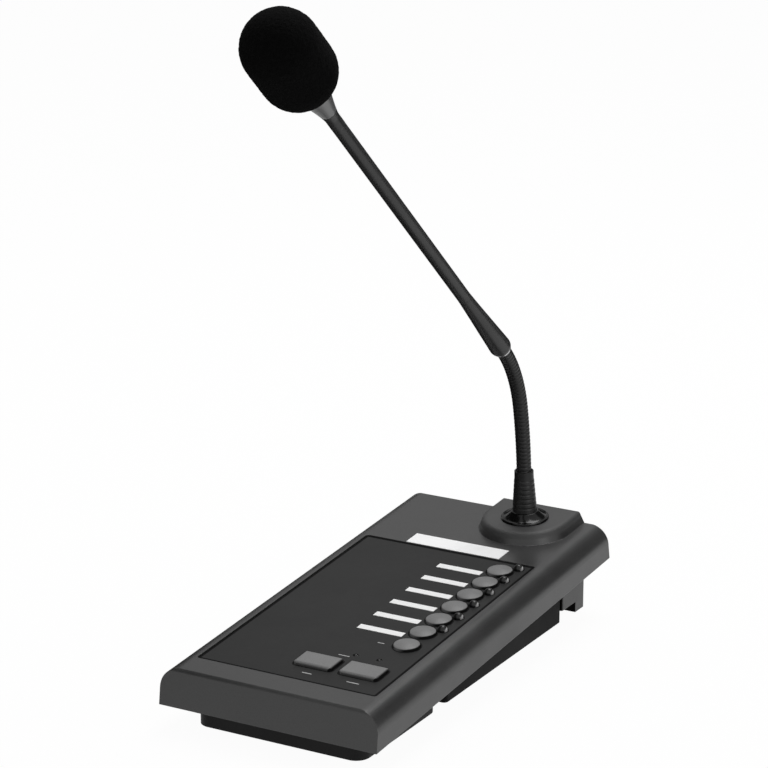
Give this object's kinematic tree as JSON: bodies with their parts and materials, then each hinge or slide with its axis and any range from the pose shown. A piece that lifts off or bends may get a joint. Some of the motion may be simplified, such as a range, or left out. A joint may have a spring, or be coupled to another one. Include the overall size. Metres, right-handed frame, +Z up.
{
  "type": "gooseneck paging microphone",
  "caption": "Desk paging microphone with a sloping keypad base, push keys, a ribbed gooseneck and a foam windscreen.",
  "frame": {"origin": "middle of the base's length and width, on the table under it", "axes": "+X to the user's right, +Y away from the user, +Z up"},
  "size_m": [0.1, 0.2339, 0.2981],
  "materials": {
    "cover_grey": "fine matt texture, mid grey",
    "panel_dark": "satin dark grey sheet",
    "key_grey": "satin light grey",
    "strip_white": "white writing strip",
    "case_black": "matt black",
    "rubber_black": "black rubber",
    "collar_black": "glossy black",
    "neck_black": "black ribbed sleeve",
    "stem_black": "satin black paint",
    "head_grey": "grey satin anodised",
    "foam_black": "open foam, deep black",
    "board_green": "green solder mask",
    "switch_black": "moulded black",
    "lens_smoke": "smoke coloured lens",
    "steel": "bright steel"
  },
  "bodies": {
    "base": {"top_cover": "cover_grey", "panel_overlay": "panel_dark", "name_strip": "strip_white", "zone_strips": "strip_white", "bottom_case": "case_black", "front_foot": "case_black", "rear_block": "cover_grey", "rear_pads": "rubber_black", "ballast_plate": "steel", "keypad_board": "board_green", "key_switches": "switch_black", "zone_leds": "lens_smoke", "status_leds": "lens_smoke", "connector_board": "board_green", "data_sockets": "switch_black", "case_screws": "steel", "board_screws": "steel", "underside_screws": "steel", "neck_collar": "collar_black", "neck_washer": "steel", "neck_nut": "steel", "neck_boot": "rubber_black"},
    "neck": {"flexible_neck": "neck_black"},
    "stem": {"ferrule_ring": "steel", "stem_ferrule": "stem_black", "stem_tube": "stem_black", "capsule_housing": "head_grey", "capsule_holder": "rubber_black", "mic_capsule": "steel", "capsule_grille": "steel", "windscreen": "foam_black"},
    "talk": {"talk_key": "key_grey", "talk_plunger": "strip_white"},
    "lock": {"lock_key": "key_grey", "lock_plunger": "strip_white"},
    "all": {"all_key": "key_grey", "all_plunger": "strip_white"},
    "zone_1": {"zone_key_1": "key_grey", "zone_plunger_1": "strip_white"},
    "zone_2": {"zone_key_2": "key_grey", "zone_plunger_2": "strip_white"},
    "zone_3": {"zone_key_3": "key_grey", "zone_plunger_3": "strip_white"},
    "zone_4": {"zone_key_4": "key_grey", "zone_plunger_4": "strip_white"},
    "zone_5": {"zone_key_5": "key_grey", "zone_plunger_5": "strip_white"},
    "zone_6": {"zone_key_6": "key_grey", "zone_plunger_6": "strip_white"}
  },
  "joints": [
    {"name": "talk_press", "type": "slide", "parent": "base", "child": "talk", "axis": [0, 0.0698, -0.9976], "range_m": [0, 0.001], "stiffness_N_per_m": 1200},
    {"name": "lock_press", "type": "slide", "parent": "base", "child": "lock", "axis": [0, 0.0698, -0.9976], "range_m": [0, 0.001], "stiffness_N_per_m": 1200},
    {"name": "all_press", "type": "slide", "parent": "base", "child": "all", "axis": [0, 0.0698, -0.9976], "range_m": [0, 0.001], "stiffness_N_per_m": 1200},
    {"name": "zone_1_press", "type": "slide", "parent": "base", "child": "zone_1", "axis": [0, 0.0698, -0.9976], "range_m": [0, 0.001], "stiffness_N_per_m": 1200},
    {"name": "zone_2_press", "type": "slide", "parent": "base", "child": "zone_2", "axis": [0, 0.0698, -0.9976], "range_m": [0, 0.001], "stiffness_N_per_m": 1200},
    {"name": "zone_3_press", "type": "slide", "parent": "base", "child": "zone_3", "axis": [0, 0.0698, -0.9976], "range_m": [0, 0.001], "stiffness_N_per_m": 1200},
    {"name": "zone_4_press", "type": "slide", "parent": "base", "child": "zone_4", "axis": [0, 0.0698, -0.9976], "range_m": [0, 0.001], "stiffness_N_per_m": 1200},
    {"name": "zone_5_press", "type": "slide", "parent": "base", "child": "zone_5", "axis": [0, 0.0698, -0.9976], "range_m": [0, 0.001], "stiffness_N_per_m": 1200},
    {"name": "zone_6_press", "type": "slide", "parent": "base", "child": "zone_6", "axis": [0, 0.0698, -0.9976], "range_m": [0, 0.001], "stiffness_N_per_m": 1200},
    {"name": "neck_side_bend", "type": "hinge", "parent": "base", "child": "neck", "pos_m": [0.018, 0.08019, 0.08279], "axis": [0, 1, 0], "range_deg": [-35, 35], "deforming": ["flexible_neck"]},
    {"name": "neck_tilt", "type": "hinge", "parent": "neck", "child": "stem", "pos_m": [0.018, 0.07046, 0.11412], "axis": [1, 0, 0], "range_deg": [-45, 30], "deforming": ["flexible_neck"]}
  ]
}
